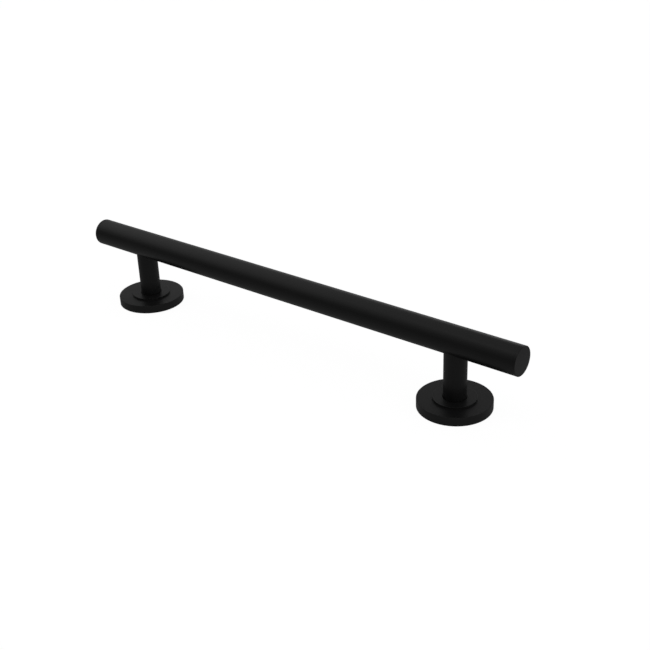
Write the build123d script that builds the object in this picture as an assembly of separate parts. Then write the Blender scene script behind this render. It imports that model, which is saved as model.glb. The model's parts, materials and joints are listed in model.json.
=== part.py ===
from build123d import *

import os
from math import degrees, radians, tan

# Straight wall-mounted grab bar with concealed fixings, in millimetres.
# A capped round bar stands on two tubular posts. Each post is coped to the bar's underside, runs
# through a round mounting plate and is welded to it. A slip-on cover with a raised collar hides each
# plate and its screws, and slides up the post to bare them.
# Frame: origin midway between the posts on the wall plane, +X along the bar, +Z out of the wall.

# Layout
POST_SPACING = 457.2
BAR_OVERHANG = 76.2
HAND_CLEARANCE = 61.2

# Bar
BAR_DIAMETER = 32.0
BAR_WALL = 1.5

# End caps: a head flush with the bar and a spigot inside it
CAP_HEAD = 3.0
CAP_SPIGOT = 8.0
CAP_SPIGOT_CLEARANCE = 0.1
CAP_LEAD_IN = 0.8
CAP_EDGE_RADIUS = 0.5

# Posts
POST_DIAMETER = 25.0
POST_WALL = 2.0
COPE_GAP = 0.05

# Mounting plates, each with a weld bead round its post and a ring of screw holes
PLATE_THICKNESS = 3.2
PLATE_EDGE_RADIUS = 0.6
PLATE_POST_CLEARANCE = 0.05
WELD_LEG = 2.5
SCREW_HOLE_DIAMETER = 7.0
SCREW_EDGE_DISTANCE = 10.2
SCREW_COUNT = 3
SCREW_START_ANGLE = 90.0

# Covers: a thin shell with a raised collar round the post
COVER_DIAMETER = 81.0
COVER_WALL = 1.5
COVER_PLATE_CLEARANCE = 0.8
COVER_POST_CLEARANCE = 0.35
SCREW_HEAD_ROOM = 5.3
COLLAR_LAND = 10.9
COLLAR_HEIGHT = 2.0
COVER_EDGE_RADIUS = 0.5
COLLAR_EDGE_RADIUS = 0.4
RIM_EDGE_RADIUS = 0.3

# Snap nibs inside each cover's skirt, which grip the plate's rim
NIB_COUNT = 3
NIB_START_ANGLE = 30.0
NIB_WIDTH = 8.0
NIB_CREST = 1.0
NIB_SLOPE_ANGLE = 45.0
NIB_PLATE_CLEARANCE = 0.15

# Sizes that follow from the ones above
bar_length = POST_SPACING + 2 * BAR_OVERHANG
bar_radius = BAR_DIAMETER / 2
bar_bore_radius = bar_radius - BAR_WALL
bar_axis_height = HAND_CLEARANCE + bar_radius
tube_length = bar_length - 2 * CAP_HEAD
post_radius = POST_DIAMETER / 2
cover_radius = COVER_DIAMETER / 2
skirt_inner_radius = cover_radius - COVER_WALL
cover_hole_radius = post_radius + COVER_POST_CLEARANCE
collar_radius = cover_hole_radius + COLLAR_LAND
collar_inner_radius = collar_radius - COVER_WALL
face_inner_height = PLATE_THICKNESS + SCREW_HEAD_ROOM
face_height = face_inner_height + COVER_WALL
collar_inner_top = face_inner_height + COLLAR_HEIGHT
collar_top = face_height + COLLAR_HEIGHT
plate_radius = skirt_inner_radius - COVER_PLATE_CLEARANCE
plate_bore_radius = post_radius + PLATE_POST_CLEARANCE
screw_circle_radius = plate_radius - SCREW_EDGE_DISTANCE

sides = {"left": -POST_SPACING / 2, "right": POST_SPACING / 2}


def section(points, rounds=None):
    """Half-section in the XZ plane from (radius, height) points.

    rounds maps the index of a point to the radius of the edge there.
    """
    face = make_face(Polyline(*points, close=True))
    for index, radius in (rounds or {}).items():
        corner = face.vertices().sort_by_distance((*points[index], 0))[0]
        face = fillet(corner, radius)
    return Plane.XZ * face


def make_grab_tube():
    """The bar's tube, between the two cap heads."""
    ring = Circle(bar_radius) - Circle(bar_bore_radius)
    tube = extrude(ring, tube_length / 2, both=True)
    return Pos(0, 0, bar_axis_height) * Rot(0, 90, 0) * tube


def make_end_cap(direction):
    """The plug in one end of the tube: direction is -1 at the left end and 1 at the right end."""
    spigot_radius = bar_bore_radius - CAP_SPIGOT_CLEARANCE
    half_section = section(
        [
            (0, CAP_HEAD),
            (bar_radius, CAP_HEAD),
            (bar_radius, 0),
            (spigot_radius, 0),
            (spigot_radius, CAP_LEAD_IN - CAP_SPIGOT),
            (spigot_radius - CAP_LEAD_IN, -CAP_SPIGOT),
            (0, -CAP_SPIGOT),
        ],
        rounds={1: CAP_EDGE_RADIUS},
    )
    cap = revolve(half_section, Axis.Z)
    tube_end = Pos(direction * tube_length / 2, 0, bar_axis_height)
    return tube_end * Rot(0, direction * 90, 0) * cap


def make_post(x):
    """A tube from the wall plane to the bar, its top coped to the bar's round underside."""
    ring = Circle(post_radius) - Circle(post_radius - POST_WALL)
    blank = extrude(ring, bar_axis_height)
    cope = Cylinder(bar_radius + COPE_GAP, tube_length, rotation=(0, 90, 0))
    return Pos(x, 0, 0) * (blank - Pos(0, 0, bar_axis_height) * cope)


def make_mounting_plate(x):
    """A round plate on the wall, with its weld bead and screw holes."""
    half_section = section(
        [
            (plate_bore_radius, 0),
            (plate_radius, 0),
            (plate_radius, PLATE_THICKNESS),
            (plate_bore_radius + WELD_LEG, PLATE_THICKNESS),
            (plate_bore_radius, PLATE_THICKNESS + WELD_LEG),
        ],
        rounds={2: PLATE_EDGE_RADIUS},
    )
    plate = revolve(half_section, Axis.Z)
    drill = extrude(Circle(SCREW_HOLE_DIAMETER / 2), PLATE_THICKNESS)
    holes = PolarLocations(screw_circle_radius, SCREW_COUNT, SCREW_START_ANGLE) * drill
    return Pos(x, 0, 0) * (plate - holes)


def make_snap_nibs():
    """Short ridges on the skirt's inner wall, level with the plate's rim and sloped above and below."""
    crest_radius = plate_radius + NIB_PLATE_CLEARANCE
    root_radius = skirt_inner_radius + COVER_WALL / 2
    slope_height = (skirt_inner_radius - crest_radius) * tan(radians(NIB_SLOPE_ANGLE))
    crest_low = PLATE_THICKNESS / 2 - NIB_CREST / 2
    crest_high = crest_low + NIB_CREST
    half_section = section(
        [
            (root_radius, crest_low - slope_height),
            (skirt_inner_radius, crest_low - slope_height),
            (crest_radius, crest_low),
            (crest_radius, crest_high),
            (skirt_inner_radius, crest_high + slope_height),
            (root_radius, crest_high + slope_height),
        ]
    )
    nib_angle = degrees(NIB_WIDTH / skirt_inner_radius)
    nib = Rot(0, 0, -nib_angle / 2) * revolve(half_section, Axis.Z, nib_angle)
    pitch = 360 / NIB_COUNT
    return [Rot(0, 0, NIB_START_ANGLE + i * pitch) * nib for i in range(NIB_COUNT)]


def make_cover(x):
    """The slip-on cover: skirt, flat face and raised collar of one wall thickness."""
    half_section = section(
        [
            (skirt_inner_radius, 0),
            (cover_radius, 0),
            (cover_radius, face_height),
            (collar_radius, face_height),
            (collar_radius, collar_top),
            (cover_hole_radius, collar_top),
            (cover_hole_radius, collar_inner_top),
            (collar_inner_radius, collar_inner_top),
            (collar_inner_radius, face_inner_height),
            (skirt_inner_radius, face_inner_height),
        ],
        rounds={1: RIM_EDGE_RADIUS, 2: COVER_EDGE_RADIUS, 4: COLLAR_EDGE_RADIUS, 5: RIM_EDGE_RADIUS},
    )
    shell = revolve(half_section, Axis.Z)
    for nib in make_snap_nibs():
        shell += nib
    return Pos(x, 0, 0) * shell


def main():
    nodes = {
        "grab_tube": make_grab_tube(),
        "end_cap_left": make_end_cap(-1),
        "end_cap_right": make_end_cap(1),
    }
    for side, x in sides.items():
        nodes[f"post_{side}"] = make_post(x)
        nodes[f"mounting_plate_{side}"] = make_mounting_plate(x)
        nodes[f"cover_{side}"] = make_cover(x)

    os.makedirs("parts", exist_ok=True)
    for name, solid in nodes.items():
        solid.label = name
        export_step(solid, f"parts/{name}.step")


main()
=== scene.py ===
import json
import math

import bpy
from mathutils import Matrix, Vector


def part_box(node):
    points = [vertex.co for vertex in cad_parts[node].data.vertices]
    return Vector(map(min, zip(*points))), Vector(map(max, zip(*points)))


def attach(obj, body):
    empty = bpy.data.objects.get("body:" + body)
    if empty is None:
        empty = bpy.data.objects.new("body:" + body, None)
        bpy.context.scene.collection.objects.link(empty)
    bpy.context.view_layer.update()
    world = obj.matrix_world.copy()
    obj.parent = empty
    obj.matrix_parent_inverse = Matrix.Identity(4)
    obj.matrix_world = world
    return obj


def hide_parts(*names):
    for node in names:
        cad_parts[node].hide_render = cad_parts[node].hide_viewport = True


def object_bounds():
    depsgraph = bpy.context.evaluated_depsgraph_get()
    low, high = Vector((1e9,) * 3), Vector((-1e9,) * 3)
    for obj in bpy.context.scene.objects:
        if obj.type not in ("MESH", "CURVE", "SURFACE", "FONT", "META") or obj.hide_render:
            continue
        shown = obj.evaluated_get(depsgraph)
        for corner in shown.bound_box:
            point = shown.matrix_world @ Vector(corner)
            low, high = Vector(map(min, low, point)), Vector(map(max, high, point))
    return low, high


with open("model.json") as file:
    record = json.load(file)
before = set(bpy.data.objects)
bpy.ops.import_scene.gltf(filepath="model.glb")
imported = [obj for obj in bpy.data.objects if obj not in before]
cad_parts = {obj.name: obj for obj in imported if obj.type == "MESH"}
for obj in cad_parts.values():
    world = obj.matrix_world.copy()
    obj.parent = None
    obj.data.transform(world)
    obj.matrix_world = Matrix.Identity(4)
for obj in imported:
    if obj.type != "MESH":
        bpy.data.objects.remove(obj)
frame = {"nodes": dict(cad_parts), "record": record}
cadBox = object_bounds()
record = frame["record"]
sides = ("left", "right")
millimetre = 0.001
print("frame loaded:", len(frame["nodes"]), "nodes")


# Small helpers for node trees. A value is a number, a vector or another node's socket.

def feed(tree, socket, value):
    if isinstance(value, bpy.types.NodeSocket):
        tree.links.new(value, socket)
    else:
        socket.default_value = value


def addNode(tree, kind, settings=None, **inputs):
    node = tree.nodes.new(kind)
    for name, value in (settings or {}).items():
        setattr(node, name, value)
    for name, value in inputs.items():
        feed(tree, node.inputs[name.replace("_", " ")], value)
    return node


def calc(tree, operation, *values):
    node = addNode(tree, "ShaderNodeMath", {"operation": operation})
    for socket, value in zip(node.inputs, values):
        feed(tree, socket, value)
    return node.outputs[0]


def vector(tree, x=0.0, y=0.0, z=0.0):
    return addNode(tree, "ShaderNodeCombineXYZ", X=x, Y=y, Z=z).outputs["Vector"]


def newTree(name, sockets):
    tree = bpy.data.node_groups.new(name, "GeometryNodeTree")
    tree.is_modifier = True
    tree.interface.new_socket(name="Section", in_out="INPUT", socket_type="NodeSocketGeometry")
    for label, kind in sockets.items():
        tree.interface.new_socket(name=label, in_out="INPUT", socket_type="NodeSocket" + kind)
    tree.interface.new_socket(name="Piece", in_out="OUTPUT", socket_type="NodeSocketGeometry")
    return tree, tree.nodes.new("NodeGroupInput").outputs


def position(tree):
    return addNode(tree, "GeometryNodeInputPosition").outputs["Position"]


def split(tree, spot):
    return addNode(tree, "ShaderNodeSeparateXYZ", Vector=spot).outputs


# How every piece is turned, rounded and shaded
turning = {"pathRadius": 0.01, "mergeDistance": 1e-6, "creaseAngle": 35.0,
           "arcSteps": 6, "holdReach": 0.35}


def addMerge(tree, piece):
    merged = addNode(tree, "GeometryNodeMergeByDistance", Geometry=piece,
                     Distance=turning["mergeDistance"])
    return merged.outputs["Geometry"]


# Sweeps a section, drawn with X as radius and Z as height, once round the Z axis.
def addTurning(tree, section, segments):
    drawn = addNode(tree, "GeometryNodeTransform", Geometry=section,
                    Translation=(-turning["pathRadius"], 0, 0), Rotation=(math.pi / 2, 0, 0))
    profile = addNode(tree, "GeometryNodeMeshToCurve", Mesh=drawn.outputs["Geometry"])
    path = addNode(tree, "GeometryNodeCurvePrimitiveCircle", {"mode": "RADIUS"},
                   Resolution=segments, Radius=turning["pathRadius"])
    turned = addNode(tree, "GeometryNodeCurveToMesh", Curve=path.outputs["Curve"],
                     Profile_Curve=profile.outputs["Curve"])
    return addMerge(tree, turned.outputs["Mesh"])


# Smooth faces with crisp edges, one finish, and the piece put in its place.
def addFinish(tree, piece, finish, centre, rotation=(0, 0, 0)):
    smooth = addNode(tree, "GeometryNodeSetShadeSmooth", {"domain": "FACE"}, Geometry=piece)
    bend = addNode(tree, "GeometryNodeInputMeshEdgeAngle").outputs["Unsigned Angle"]
    sharp = calc(tree, "GREATER_THAN", bend, math.radians(turning["creaseAngle"]))
    crisp = addNode(tree, "GeometryNodeSetShadeSmooth", {"domain": "EDGE"},
                    Geometry=smooth.outputs["Geometry"], Selection=sharp, Shade_Smooth=False)
    placed = addNode(tree, "GeometryNodeTransform", Geometry=crisp.outputs["Geometry"],
                     Translation=centre, Rotation=rotation)
    realized = addNode(tree, "GeometryNodeRealizeInstances", Geometry=placed.outputs["Geometry"])
    coated = addNode(tree, "GeometryNodeSetMaterial", Geometry=realized.outputs["Geometry"],
                     Material=finish)
    addNode(tree, "NodeGroupOutput", Piece=coated.outputs["Geometry"])


# Points of a half-section from corners (radius, height, edge radius). A rounded corner gets an arc
# and a holding point on either side, which keep the flats next to it flat.
def roundedSection(corners):
    points = []
    steps = turning["arcSteps"]
    for index, (x, z, edge) in enumerate(corners):
        here = Vector((x, z))
        before = Vector(corners[index - 1][:2]) - here
        after = Vector(corners[(index + 1) % len(corners)][:2]) - here
        if edge == 0:
            points.append(here)
            continue
        half = before.angle(after) / 2
        reach = edge / math.tan(half)
        start = before.normalized() * reach
        end = after.normalized() * reach
        middle = (before.normalized() + after.normalized()).normalized() * edge / math.sin(half)
        sweep = math.pi - 2 * half
        points.append(here + start * (1 + turning["holdReach"]))
        for step in range(steps + 1):
            turn = sweep * step / steps
            near = math.sin(sweep - turn) / math.sin(sweep)
            far = math.sin(turn) / math.sin(sweep)
            points.append(here + middle + (start - middle) * near + (end - middle) * far)
        points.append(here + end * (1 + turning["holdReach"]))
    area = sum(a.x * b.y - b.x * a.y for a, b in zip(points, points[1:] + points[:1]))
    return points if area < 0 else points[::-1]


# A section object grown by a node tree, then settled into a plain mesh that rides on a body.
# A section that starts and ends on the axis stays open there.
def growPiece(name, section, tree, values, body, node):
    mesh = bpy.data.meshes.new(name)
    count = len(section)
    edges = [(i, i + 1) for i in range(count - 1)]
    if section[0].x > 0 or section[-1].x > 0:
        edges.append((count - 1, 0))
    mesh.from_pydata([(p.x, 0, p.y) for p in section], edges, [])
    piece = bpy.data.objects.new(name, mesh)
    bpy.context.scene.collection.objects.link(piece)
    modifier = piece.modifiers.new(tree.name, "NODES")
    modifier.node_group = tree
    for item in tree.interface.items_tree:
        if item.in_out == "INPUT" and item.name in values:
            modifier[item.identifier] = values[item.name]
    evaluated = piece.evaluated_get(bpy.context.evaluated_depsgraph_get())
    piece.data = bpy.data.meshes.new_from_object(evaluated)
    piece.data.name = name
    piece.modifiers.clear()
    bpy.data.meshes.remove(mesh)
    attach(piece, body)
    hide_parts(node)
    print(name, len(piece.data.polygons), "faces")


# Powder coat: soft orange peel with a finer grit on it, a slow drift in sheen and a speckle in the tone
coating = {"peelDetail": 1.0, "gritRatio": 3.2, "gritDetail": 0.0, "gritShare": 0.18,
           "driftScale": 38.0, "driftDetail": 3.0, "driftLow": 0.3, "driftHigh": 0.7}


def makeCoatGroup():
    group = bpy.data.node_groups.new("powderCoat", "ShaderNodeTree")
    for label, kind in {"Tone": "Color", "Speckle": "Float", "Peel Scale": "Float",
                        "Sheen Low": "Float", "Sheen High": "Float"}.items():
        group.interface.new_socket(name=label, in_out="INPUT", socket_type="NodeSocket" + kind)
    for label, kind in {"Color": "Color", "Roughness": "Float", "Height": "Float"}.items():
        group.interface.new_socket(name=label, in_out="OUTPUT", socket_type="NodeSocket" + kind)
    given = group.nodes.new("NodeGroupInput").outputs
    place = group.nodes.new("ShaderNodeTexCoord").outputs["Object"]
    peel = addNode(group, "ShaderNodeTexNoise", Vector=place, Scale=given["Peel Scale"],
                   Detail=coating["peelDetail"])
    gritScale = calc(group, "MULTIPLY", given["Peel Scale"], coating["gritRatio"])
    grit = addNode(group, "ShaderNodeTexNoise", Vector=place, Scale=gritScale,
                   Detail=coating["gritDetail"])
    drift = addNode(group, "ShaderNodeTexNoise", Vector=place, Scale=coating["driftScale"],
                    Detail=coating["driftDetail"])
    sheen = addNode(group, "ShaderNodeMapRange", Value=drift.outputs["Fac"],
                    From_Min=coating["driftLow"], From_Max=coating["driftHigh"],
                    To_Min=given["Sheen Low"], To_Max=given["Sheen High"])
    offset = calc(group, "SUBTRACT", grit.outputs["Fac"], 0.5)
    brightness = calc(group, "MULTIPLY_ADD", offset, given["Speckle"], 1.0)
    tone = addNode(group, "ShaderNodeVectorMath", {"operation": "SCALE"},
                   Vector=given["Tone"], Scale=brightness)
    height = calc(group, "MULTIPLY_ADD", grit.outputs["Fac"], coating["gritShare"], peel.outputs["Fac"])
    addNode(group, "NodeGroupOutput", Color=tone.outputs["Vector"],
            Roughness=sheen.outputs["Result"], Height=height)
    return group


coatGroup = makeCoatGroup()


def makeCoat(name, look):
    material = bpy.data.materials.new(name)
    material.use_nodes = True
    tree = material.node_tree
    shader = tree.nodes["Principled BSDF"]
    coat = addNode(tree, "ShaderNodeGroup", {"node_tree": coatGroup}, Tone=(*look["tone"], 1.0),
                   Speckle=look["speckle"], Peel_Scale=look["peelScale"],
                   Sheen_Low=look["sheenLow"], Sheen_High=look["sheenHigh"])
    bump = addNode(tree, "ShaderNodeBump", Strength=1.0, Distance=look["peelDepth"],
                   Height=coat.outputs["Height"])
    tree.links.new(coat.outputs["Color"], shader.inputs["Base Color"])
    tree.links.new(coat.outputs["Roughness"], shader.inputs["Roughness"])
    tree.links.new(bump.outputs["Normal"], shader.inputs["Normal"])
    shader.inputs["IOR"].default_value = look["ior"]
    return material


# The bar and posts are coated as one, the covers by themselves, the plates less finely
barLook = {"tone": (0.0140, 0.0140, 0.0143), "speckle": 0.5, "peelScale": 900.0, "peelDepth": 2e-5,
           "sheenLow": 0.30, "sheenHigh": 0.36, "ior": 1.47}
coverLook = {"tone": (0.0144, 0.0144, 0.0147), "speckle": 0.5, "peelScale": 960.0, "peelDepth": 2e-5,
             "sheenLow": 0.36, "sheenHigh": 0.42, "ior": 1.47}
plateLook = {"tone": (0.0170, 0.0170, 0.0174), "speckle": 0.8, "peelScale": 700.0, "peelDepth": 3e-5,
             "sheenLow": 0.42, "sheenHigh": 0.55, "ior": 1.47}
barCoat = makeCoat("barCoat", barLook)
coverCoat = makeCoat("coverCoat", coverLook)
plateCoat = makeCoat("plateCoat", plateLook)
print("coats made")


# Bar: a hollow tube and two flush plugs, turned about Z and laid along X
bar = {"wall": 0.0015, "segments": 192, "plugEdge": 0.0005, "plugLeadIn": 0.0008, "spigotGap": 0.0001,
       "seamEdge": 0.0001}


def makeTurnedTree():
    tree, given = newTree("turnedPiece", {"Segments": "Int", "Centre": "Vector", "Rotation": "Vector",
                                          "Finish": "Material"})
    piece = addTurning(tree, given["Section"], given["Segments"])
    addFinish(tree, piece, given["Finish"], given["Centre"], given["Rotation"])
    return tree


turnedTree = makeTurnedTree()
tubeLow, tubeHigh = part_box("grab_tube")
barRadius = (tubeHigh.z - tubeLow.z) / 2
barAxis = (tubeHigh.z + tubeLow.z) / 2
tubeEnd = (tubeHigh.x - tubeLow.x) / 2
boreRadius = barRadius - bar["wall"]
tubeSection = roundedSection([
    (boreRadius, -tubeEnd, 0),
    (barRadius, -tubeEnd, bar["seamEdge"]),
    (barRadius, tubeEnd, bar["seamEdge"]),
    (boreRadius, tubeEnd, 0),
])
growPiece("barTube", tubeSection, turnedTree,
          {"Segments": bar["segments"], "Centre": (0, 0, barAxis), "Rotation": (0, math.pi / 2, 0),
           "Finish": barCoat},
          "bar_frame", "grab_tube")

for side, facing in zip(sides, (-1, 1)):
    capLow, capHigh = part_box("end_cap_" + side)
    head = max(abs(capLow.x), abs(capHigh.x)) - tubeEnd
    spigot = capHigh.x - capLow.x - head
    spigotRadius = boreRadius - bar["spigotGap"]
    plugSection = roundedSection([
        (0, head, 0),
        (barRadius, head, bar["plugEdge"]),
        (barRadius, 0, bar["seamEdge"]),
        (spigotRadius, 0, 0),
        (spigotRadius, bar["plugLeadIn"] - spigot, 0),
        (spigotRadius - bar["plugLeadIn"], -spigot, 0),
        (0, -spigot, 0),
    ])
    growPiece("endPlug" + side.title(), plugSection, turnedTree,
              {"Segments": bar["segments"], "Centre": (facing * tubeEnd, 0, barAxis),
               "Rotation": (0, facing * math.pi / 2, 0), "Finish": barCoat},
              "bar_frame", "end_cap_" + side)


# Posts: tubes whose tops follow the bar's round underside
post = {"wall": 0.0020, "segments": 160, "copeGap": 0.00005, "footEdge": 0.0003}


def makeCopedTree():
    tree, given = newTree("copedPost", {"Segments": "Int", "Centre": "Vector", "Blank Height": "Float",
                                        "Bar Radius": "Float", "Bar Axis": "Float", "Finish": "Material"})
    blank = addTurning(tree, given["Section"], given["Segments"])
    axes = split(tree, position(tree))
    radiusSquared = calc(tree, "MULTIPLY", given["Bar Radius"], given["Bar Radius"])
    acrossSquared = calc(tree, "MULTIPLY", axes["Y"], axes["Y"])
    drop = calc(tree, "SQRT", calc(tree, "SUBTRACT", radiusSquared, acrossSquared))
    saddle = calc(tree, "SUBTRACT", given["Bar Axis"], drop)
    height = calc(tree, "MULTIPLY", axes["Z"], calc(tree, "DIVIDE", saddle, given["Blank Height"]))
    coped = addNode(tree, "GeometryNodeSetPosition", Geometry=blank,
                    Position=vector(tree, axes["X"], axes["Y"], height))
    addFinish(tree, coped.outputs["Geometry"], given["Finish"], given["Centre"])
    return tree


copedTree = makeCopedTree()
for side in sides:
    postLow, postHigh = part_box("post_" + side)
    outer = (postHigh.x - postLow.x) / 2
    inner = outer - post["wall"]
    postSection = roundedSection([
        (inner, 0, post["footEdge"]),
        (outer, 0, post["footEdge"]),
        (outer, barAxis, 0),
        (inner, barAxis, 0),
    ])
    growPiece("post" + side.title(), postSection, copedTree,
              {"Segments": post["segments"], "Centre": ((postLow.x + postHigh.x) / 2, 0, 0),
               "Blank Height": barAxis, "Bar Radius": barRadius + post["copeGap"], "Bar Axis": barAxis,
               "Finish": barCoat},
              "bar_frame", "post_" + side)


# Mounting plates: a drilled disc with a rippled weld bead round the post
plate = {"thickness": 0.0032, "edge": 0.0006, "backEdge": 0.0003, "postGap": 0.00005,
         "holeBreak": 0.0003, "holeSegments": 64, "firstHole": 90.0, "drillReach": 3.0,
         "beadSteps": 9, "beadBulge": 0.0005, "beadToe": 0.0004, "rippleCount": 46, "rippleSegments": 12,
         "rippleDepth": 0.00022, "rippleBow": 0.8,
         "wander": 0.00018, "wanderScale": 260.0, "wanderDetail": 1.0, "seed": 4.0}


# The bead's surface steps back once per ripple, in bowed lines, and wanders a little.
def addRipples(tree, given, blank):
    spot = position(tree)
    axes = split(tree, spot)
    above = calc(tree, "MAXIMUM", calc(tree, "SUBTRACT", axes["Z"], given["Thickness"]), 0.0)
    rise = calc(tree, "DIVIDE", above, given["Bead Leg"])
    lift = calc(tree, "SINE", calc(tree, "MULTIPLY", rise, math.pi))
    turn = calc(tree, "DIVIDE", calc(tree, "ARCTAN2", axes["Y"], axes["X"]), 2 * math.pi)
    offMiddle = calc(tree, "SUBTRACT", rise, 0.5)
    bow = calc(tree, "MULTIPLY", calc(tree, "MULTIPLY", offMiddle, offMiddle), given["Ripple Bow"])
    phase = calc(tree, "FRACT", calc(tree, "MULTIPLY_ADD", turn, given["Ripple Count"], bow))
    ripple = calc(tree, "MULTIPLY", calc(tree, "SQRT", phase), given["Ripple Depth"])
    noise = addNode(tree, "ShaderNodeTexNoise", {"noise_dimensions": "4D"}, Vector=spot,
                    W=given["Seed"], Scale=given["Wander Scale"], Detail=plate["wanderDetail"])
    wander = calc(tree, "MULTIPLY", calc(tree, "SUBTRACT", noise.outputs["Fac"], 0.5), given["Wander"])
    push = calc(tree, "SUBTRACT", calc(tree, "ADD", ripple, wander), given["Bead Bulge"])
    away = addNode(tree, "ShaderNodeVectorMath", {"operation": "NORMALIZE"},
                   Vector=vector(tree, axes["X"], axes["Y"]))
    slope = addNode(tree, "ShaderNodeVectorMath", {"operation": "ADD"}, Vector=away.outputs["Vector"])
    slope.inputs[1].default_value = (0, 0, 1)
    move = addNode(tree, "ShaderNodeVectorMath", {"operation": "SCALE"}, Vector=slope.outputs["Vector"],
                   Scale=calc(tree, "MULTIPLY", push, lift))
    rippled = addNode(tree, "GeometryNodeSetPosition", Geometry=blank, Offset=move.outputs["Vector"])
    return rippled.outputs["Geometry"]


# Screw holes: a ring of drills, each with a small countersink at both faces.
# Half of each countersink's cone stands outside the plate.
def addHoles(tree, given, disc):
    ring = addNode(tree, "GeometryNodeMeshCircle", Vertices=given["Hole Count"],
                   Radius=given["Hole Circle"])
    start = addNode(tree, "GeometryNodeTransform", Geometry=ring.outputs["Mesh"],
                    Rotation=vector(tree, z=given["First Hole"]))
    flareDepth = calc(tree, "MULTIPLY", given["Hole Break"], 2.0)
    flare = calc(tree, "ADD", given["Hole Radius"], flareDepth)
    drillDepth = calc(tree, "MULTIPLY", given["Thickness"], plate["drillReach"])
    drill = addNode(tree, "GeometryNodeMeshCylinder", Vertices=given["Hole Segments"],
                    Radius=given["Hole Radius"], Depth=drillDepth)
    topFlare = addNode(tree, "GeometryNodeMeshCone", Vertices=given["Hole Segments"], Radius_Top=flare,
                       Radius_Bottom=given["Hole Radius"], Depth=flareDepth)
    backFlare = addNode(tree, "GeometryNodeMeshCone", Vertices=given["Hole Segments"],
                        Radius_Top=given["Hole Radius"], Radius_Bottom=flare, Depth=flareDepth)
    levels = {
        drill: calc(tree, "MULTIPLY", given["Thickness"], 0.5),
        topFlare: calc(tree, "SUBTRACT", given["Thickness"], given["Hole Break"]),
        backFlare: calc(tree, "MULTIPLY", given["Hole Break"], -1.0),
    }
    cut = addNode(tree, "GeometryNodeMeshBoolean", {"operation": "DIFFERENCE", "solver": "EXACT"},
                  Mesh_1=disc)
    for cutter, level in levels.items():
        raised = addNode(tree, "GeometryNodeTransform", Geometry=cutter.outputs["Mesh"],
                         Translation=vector(tree, z=level))
        spread = addNode(tree, "GeometryNodeInstanceOnPoints", Points=start.outputs["Geometry"],
                         Instance=raised.outputs["Geometry"])
        whole = addNode(tree, "GeometryNodeRealizeInstances", Geometry=spread.outputs["Instances"])
        tree.links.new(whole.outputs["Geometry"], cut.inputs["Mesh 2"])
    return addMerge(tree, cut.outputs["Mesh"])


def makePlateTree():
    tree, given = newTree("screwPlate", {
        "Segments": "Int", "Centre": "Vector", "Thickness": "Float",
        "Hole Count": "Int", "Hole Circle": "Float", "Hole Radius": "Float", "Hole Break": "Float",
        "Hole Segments": "Int", "First Hole": "Float", "Bead Leg": "Float", "Bead Bulge": "Float",
        "Ripple Count": "Float", "Ripple Depth": "Float", "Ripple Bow": "Float",
        "Wander": "Float", "Wander Scale": "Float", "Seed": "Float", "Finish": "Material"})
    blank = addTurning(tree, given["Section"], given["Segments"])
    drilled = addHoles(tree, given, addRipples(tree, given, blank))
    addFinish(tree, drilled, given["Finish"], given["Centre"])
    return tree


plateTree = makePlateTree()
screwRings = {mount["name"]: mount["dims"] for mount in record["mounts"]
              if mount["kind"] == "bolt_pattern"}
for side in sides:
    plateLow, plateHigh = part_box("mounting_plate_" + side)
    postLow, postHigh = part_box("post_" + side)
    screws = screwRings[side + "_screws"]
    plateRadius = (plateHigh.x - plateLow.x) / 2
    plateBore = (postHigh.x - postLow.x) / 2 + plate["postGap"]
    beadLeg = plateHigh.z - plate["thickness"]
    beadTurns = [math.pi / 2 * step / plate["beadSteps"] for step in range(plate["beadSteps"] + 1)]
    plateSection = roundedSection([
        (plateBore, 0, 0),
        (plateRadius, 0, plate["backEdge"]),
        (plateRadius, plate["thickness"], plate["edge"]),
        (plateBore + beadLeg + plate["beadToe"], plate["thickness"], 0),
        *[(plateBore + beadLeg * math.cos(turn), plate["thickness"] + beadLeg * math.sin(turn), 0)
          for turn in beadTurns],
    ])
    growPiece("mountPlate" + side.title(), plateSection, plateTree,
              {"Segments": plate["rippleCount"] * plate["rippleSegments"],
               "Centre": ((plateLow.x + plateHigh.x) / 2, 0, 0), "Thickness": plate["thickness"],
               "Hole Count": screws["count"], "Hole Circle": screws["pcd_mm"] * millimetre / 2,
               "Hole Radius": screws["hole_r_mm"] * millimetre, "Hole Break": plate["holeBreak"],
               "Hole Segments": plate["holeSegments"], "First Hole": math.radians(plate["firstHole"]),
               "Bead Leg": beadLeg, "Bead Bulge": plate["beadBulge"],
               "Ripple Count": float(plate["rippleCount"]), "Ripple Depth": plate["rippleDepth"],
               "Ripple Bow": plate["rippleBow"], "Wander": plate["wander"],
               "Wander Scale": plate["wanderScale"], "Seed": plate["seed"], "Finish": plateCoat},
              "bar_frame", "mounting_plate_" + side)


# Covers: stepped shells with snap nibs inside the skirt
cover = {"wall": 0.0015, "faceHeight": 0.0100, "collarRadius": 0.02375, "boreRadius": 0.01285,
         "segments": 224, "faceEdge": 0.0005, "collarEdge": 0.00025, "rimEdge": 0.0003,
         "innerEdge": 0.0006, "collarRoot": 0.00008,
         "nibCount": 3, "firstNib": 30.0, "nibWidth": 0.0080, "nibCrest": 0.0010, "nibReach": 0.00065,
         "nibLevel": 0.0016, "nibRoot": 0.0004, "nibSegments": 12}


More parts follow.
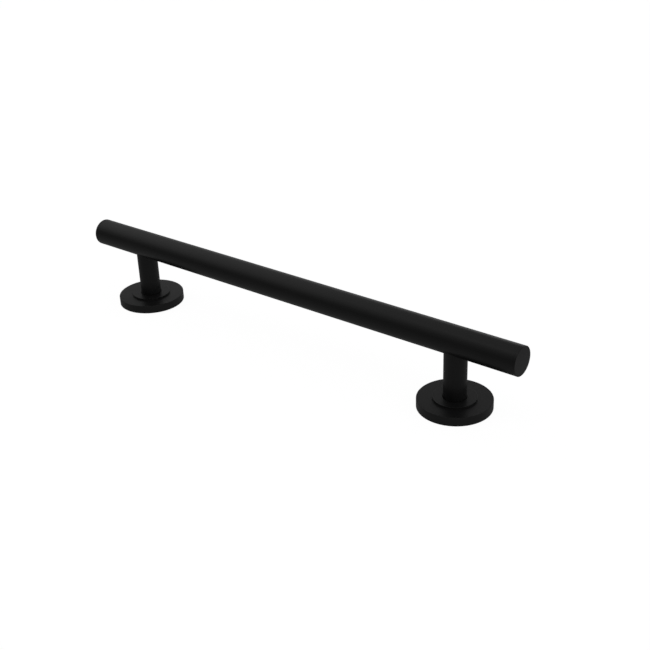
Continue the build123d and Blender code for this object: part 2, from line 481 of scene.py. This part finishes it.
# One nib is a trapezium with slopes of 45 degrees, swept along a short arc of the skirt's inner wall.
# A ring of them is fused on.
def addNibs(tree, given, shell):
    depth = calc(tree, "ADD", given["Nib Reach"], given["Nib Root"])
    foot = calc(tree, "MULTIPLY_ADD", depth, 2.0, given["Nib Crest"])
    outline = addNode(tree, "GeometryNodeCurvePrimitiveQuadrilateral", {"mode": "TRAPEZOID"},
                      Bottom_Width=foot, Top_Width=given["Nib Crest"], Height=depth, Offset=0.0)
    inward = calc(tree, "MULTIPLY_ADD", depth, -0.5, given["Nib Root"])
    level = calc(tree, "MULTIPLY", given["Nib Level"], -1.0)
    turned = addNode(tree, "GeometryNodeTransform", Geometry=outline.outputs["Curve"],
                     Rotation=(0, 0, math.pi / 2), Translation=vector(tree, inward, level))
    sweep = calc(tree, "DIVIDE", given["Nib Width"], given["Skirt Radius"])
    path = addNode(tree, "GeometryNodeCurveArc", {"mode": "RADIUS"}, Resolution=given["Nib Segments"],
                   Radius=given["Skirt Radius"], Start_Angle=calc(tree, "MULTIPLY", sweep, -0.5),
                   Sweep_Angle=sweep)
    nib = addNode(tree, "GeometryNodeCurveToMesh", Curve=path.outputs["Curve"],
                  Profile_Curve=turned.outputs["Geometry"], Fill_Caps=True)
    spots = addNode(tree, "GeometryNodeMeshLine", Count=given["Nib Count"], Offset=(0, 0, 0))
    index = addNode(tree, "GeometryNodeInputIndex").outputs["Index"]
    pitch = calc(tree, "DIVIDE", 2 * math.pi, given["Nib Count"])
    angle = calc(tree, "MULTIPLY_ADD", index, pitch, given["First Nib"])
    nibs = addNode(tree, "GeometryNodeInstanceOnPoints", Points=spots.outputs["Mesh"],
                   Instance=nib.outputs["Mesh"], Rotation=vector(tree, z=angle))
    whole = addNode(tree, "GeometryNodeRealizeInstances", Geometry=nibs.outputs["Instances"])
    fused = addNode(tree, "GeometryNodeMeshBoolean", {"operation": "UNION", "solver": "EXACT"})
    tree.links.new(shell, fused.inputs["Mesh 2"])
    tree.links.new(whole.outputs["Geometry"], fused.inputs["Mesh 2"])
    return addMerge(tree, fused.outputs["Mesh"])


def makeCoverTree():
    tree, given = newTree("steppedCover", {
        "Segments": "Int", "Centre": "Vector", "Skirt Radius": "Float", "Nib Count": "Int",
        "First Nib": "Float", "Nib Width": "Float", "Nib Crest": "Float", "Nib Reach": "Float",
        "Nib Level": "Float", "Nib Root": "Float", "Nib Segments": "Int", "Finish": "Material"})
    shell = addTurning(tree, given["Section"], given["Segments"])
    addFinish(tree, addNibs(tree, given, shell), given["Finish"], given["Centre"])
    return tree


coverTree = makeCoverTree()
for side in sides:
    coverLow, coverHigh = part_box("cover_" + side)
    rim = (coverHigh.x - coverLow.x) / 2
    top = coverHigh.z
    skirt = rim - cover["wall"]
    innerFace = cover["faceHeight"] - cover["wall"]
    innerTop = top - cover["wall"]
    innerCollar = cover["collarRadius"] - cover["wall"]
    coverSection = roundedSection([
        (skirt, 0, cover["rimEdge"]),
        (rim, 0, cover["rimEdge"]),
        (rim, cover["faceHeight"], cover["faceEdge"]),
        (cover["collarRadius"], cover["faceHeight"], cover["collarRoot"]),
        (cover["collarRadius"], top, cover["collarEdge"]),
        (cover["boreRadius"], top, cover["rimEdge"]),
        (cover["boreRadius"], innerTop, cover["rimEdge"]),
        (innerCollar, innerTop, cover["innerEdge"]),
        (innerCollar, innerFace, cover["rimEdge"]),
        (skirt, innerFace, cover["innerEdge"]),
    ])
    growPiece("cover" + side.title(), coverSection, coverTree,
              {"Segments": cover["segments"], "Centre": ((coverLow.x + coverHigh.x) / 2, 0, 0),
               "Skirt Radius": skirt, "Nib Count": cover["nibCount"],
               "First Nib": math.radians(cover["firstNib"]), "Nib Width": cover["nibWidth"],
               "Nib Crest": cover["nibCrest"], "Nib Reach": cover["nibReach"],
               "Nib Level": cover["nibLevel"], "Nib Root": cover["nibRoot"],
               "Nib Segments": cover["nibSegments"], "Finish": coverCoat},
              "cover_" + side, "cover_" + side)


# Floor: pale paper on a light table. It glows white to the camera, spills a little light upwards,
# most of it in a strip under the bar, and is clear from below.
floorLook = {"size": 8.0, "drop": 0.0002, "tone": 0.20, "glow": 0.957,
             "spill": 0.116, "farSpill": 0.072, "stripEdge": 0.08, "stripFade": 0.30}


def makeFloor():
    half = floorLook["size"] / 2
    level = cadBox[0].z - floorLook["drop"]
    corners = ((-half, -half), (half, -half), (half, half), (-half, half))
    mesh = bpy.data.meshes.new("floor")
    mesh.from_pydata([(x, y, level) for x, y in corners], [], [(0, 1, 2, 3)])
    floor = bpy.data.objects.new("floor", mesh)
    bpy.context.scene.collection.objects.link(floor)
    material = bpy.data.materials.new("paleFloor")
    material.use_nodes = True
    tree = material.node_tree
    tree.nodes.clear()
    tone = floorLook["tone"]
    paper = addNode(tree, "ShaderNodeBsdfDiffuse", Color=(tone, tone, tone, 1.0))
    seen = tree.nodes.new("ShaderNodeLightPath").outputs["Is Camera Ray"]
    face = tree.nodes.new("ShaderNodeNewGeometry").outputs
    fromBar = calc(tree, "ABSOLUTE", split(tree, face["Position"])["Y"])
    spill = addNode(tree, "ShaderNodeMapRange", {"interpolation_type": "SMOOTHSTEP"}, Value=fromBar,
                    From_Min=floorLook["stripEdge"], From_Max=floorLook["stripFade"],
                    To_Min=floorLook["spill"], To_Max=floorLook["farSpill"]).outputs["Result"]
    strength = addNode(tree, "ShaderNodeMapRange", Value=seen,
                       To_Min=spill, To_Max=floorLook["glow"]).outputs["Result"]
    glow = addNode(tree, "ShaderNodeEmission", Strength=strength)
    clear = tree.nodes.new("ShaderNodeBsdfTransparent")
    lit = tree.nodes.new("ShaderNodeAddShader")
    tree.links.new(paper.outputs["BSDF"], lit.inputs[0])
    tree.links.new(glow.outputs["Emission"], lit.inputs[1])
    oneSided = addNode(tree, "ShaderNodeMixShader", Fac=face["Backfacing"])
    tree.links.new(lit.outputs["Shader"], oneSided.inputs[1])
    tree.links.new(clear.outputs["BSDF"], oneSided.inputs[2])
    addNode(tree, "ShaderNodeOutputMaterial", Surface=oneSided.outputs["Shader"])
    mesh.materials.append(material)


# Soft light tent: a ceiling that brightens upwards, a broad panel on each side and a weak fill low at the
# front, white to the camera. Panels are (heading in degrees from +X, height in degrees, strength).
tent = {"low": 0.055, "high": 0.21, "rampStart": 48.0, "rampEnd": 60.0, "poleGuard": 1e-6,
        "panelSpread": 30.0,
        "panels": {"left": (180, 39, 0.505), "right": (0, 17, 0.48),
                   "back": (90, 0, 0.79), "front": (270, 75, 0.50),
                   "fill": (235, 10, 0.038)}}


def makeLight():
    world = bpy.data.worlds.new("lightTent")
    bpy.context.scene.world = world
    world.use_nodes = True
    tree = world.node_tree
    tree.nodes.clear()
    direction = tree.nodes.new("ShaderNodeTexCoord").outputs["Generated"]
    axes = split(tree, direction)
    steepness = calc(tree, "ARCSINE", axes["Z"])
    height = calc(tree, "DEGREES", steepness)
    level = calc(tree, "MAXIMUM", calc(tree, "COSINE", steepness), tent["poleGuard"])
    total = addNode(tree, "ShaderNodeMapRange", {"interpolation_type": "SMOOTHSTEP"}, Value=height,
                    From_Min=tent["rampStart"], From_Max=tent["rampEnd"],
                    To_Min=tent["low"], To_Max=tent["high"]).outputs["Result"]
    for heading, middle, strength in tent["panels"].values():
        turn = math.radians(heading)
        eastward = calc(tree, "MULTIPLY", axes["X"], math.cos(turn))
        towards = calc(tree, "MULTIPLY_ADD", axes["Y"], math.sin(turn), eastward)
        facing = calc(tree, "MAXIMUM", calc(tree, "DIVIDE", towards, level), 0.0)
        distance = calc(tree, "ABSOLUTE", calc(tree, "SUBTRACT", height, middle))
        fade = calc(tree, "DIVIDE", distance, tent["panelSpread"])
        nearness = calc(tree, "MAXIMUM", calc(tree, "SUBTRACT", 1.0, fade), 0.0)
        spread = calc(tree, "MULTIPLY", calc(tree, "MULTIPLY", facing, facing), nearness)
        total = calc(tree, "MULTIPLY_ADD", spread, strength, total)
    seen = tree.nodes.new("ShaderNodeLightPath").outputs["Is Camera Ray"]
    light = addNode(tree, "ShaderNodeBackground", Color=(1, 1, 1, 1),
                    Strength=calc(tree, "MAXIMUM", total, seen))
    addNode(tree, "ShaderNodeOutputWorld", Surface=light.outputs["Background"])


# Camera at the photograph's viewing angle. Angles are in degrees, distances in metres.
shot = {"azimuth": 39.4548, "elevation": 27.0184, "roll": -2.3306, "distance": 1.23264,
        "target": (0.04297, 0.01744, 0.03413), "focalPixels": 1079.34, "framePixels": 650, "sensor": 36.0}


def makeCamera():
    data = bpy.data.cameras.new("camera")
    camera = bpy.data.objects.new("camera", data)
    bpy.context.scene.collection.objects.link(camera)
    data.sensor_width = shot["sensor"]
    data.lens = shot["focalPixels"] / shot["framePixels"] * shot["sensor"]
    around, above, tilt = (math.radians(shot[key]) for key in ("azimuth", "elevation", "roll"))
    flat = math.cos(above)
    back = Vector((math.sin(around) * flat, -math.cos(around) * flat, math.sin(above)))
    level = Vector((0, 0, 1)).cross(back).normalized()
    upright = back.cross(level)
    right = level * math.cos(tilt) + upright * math.sin(tilt)
    up = upright * math.cos(tilt) - level * math.sin(tilt)
    stand = Matrix.Translation(Vector(shot["target"]) + back * shot["distance"])
    camera.matrix_world = stand @ Matrix((right, up, back)).transposed().to_4x4()
    bpy.context.scene.camera = camera


makeFloor()
makeLight()
makeCamera()
bpy.context.scene.view_settings.view_transform = "Standard"
print("stage set")
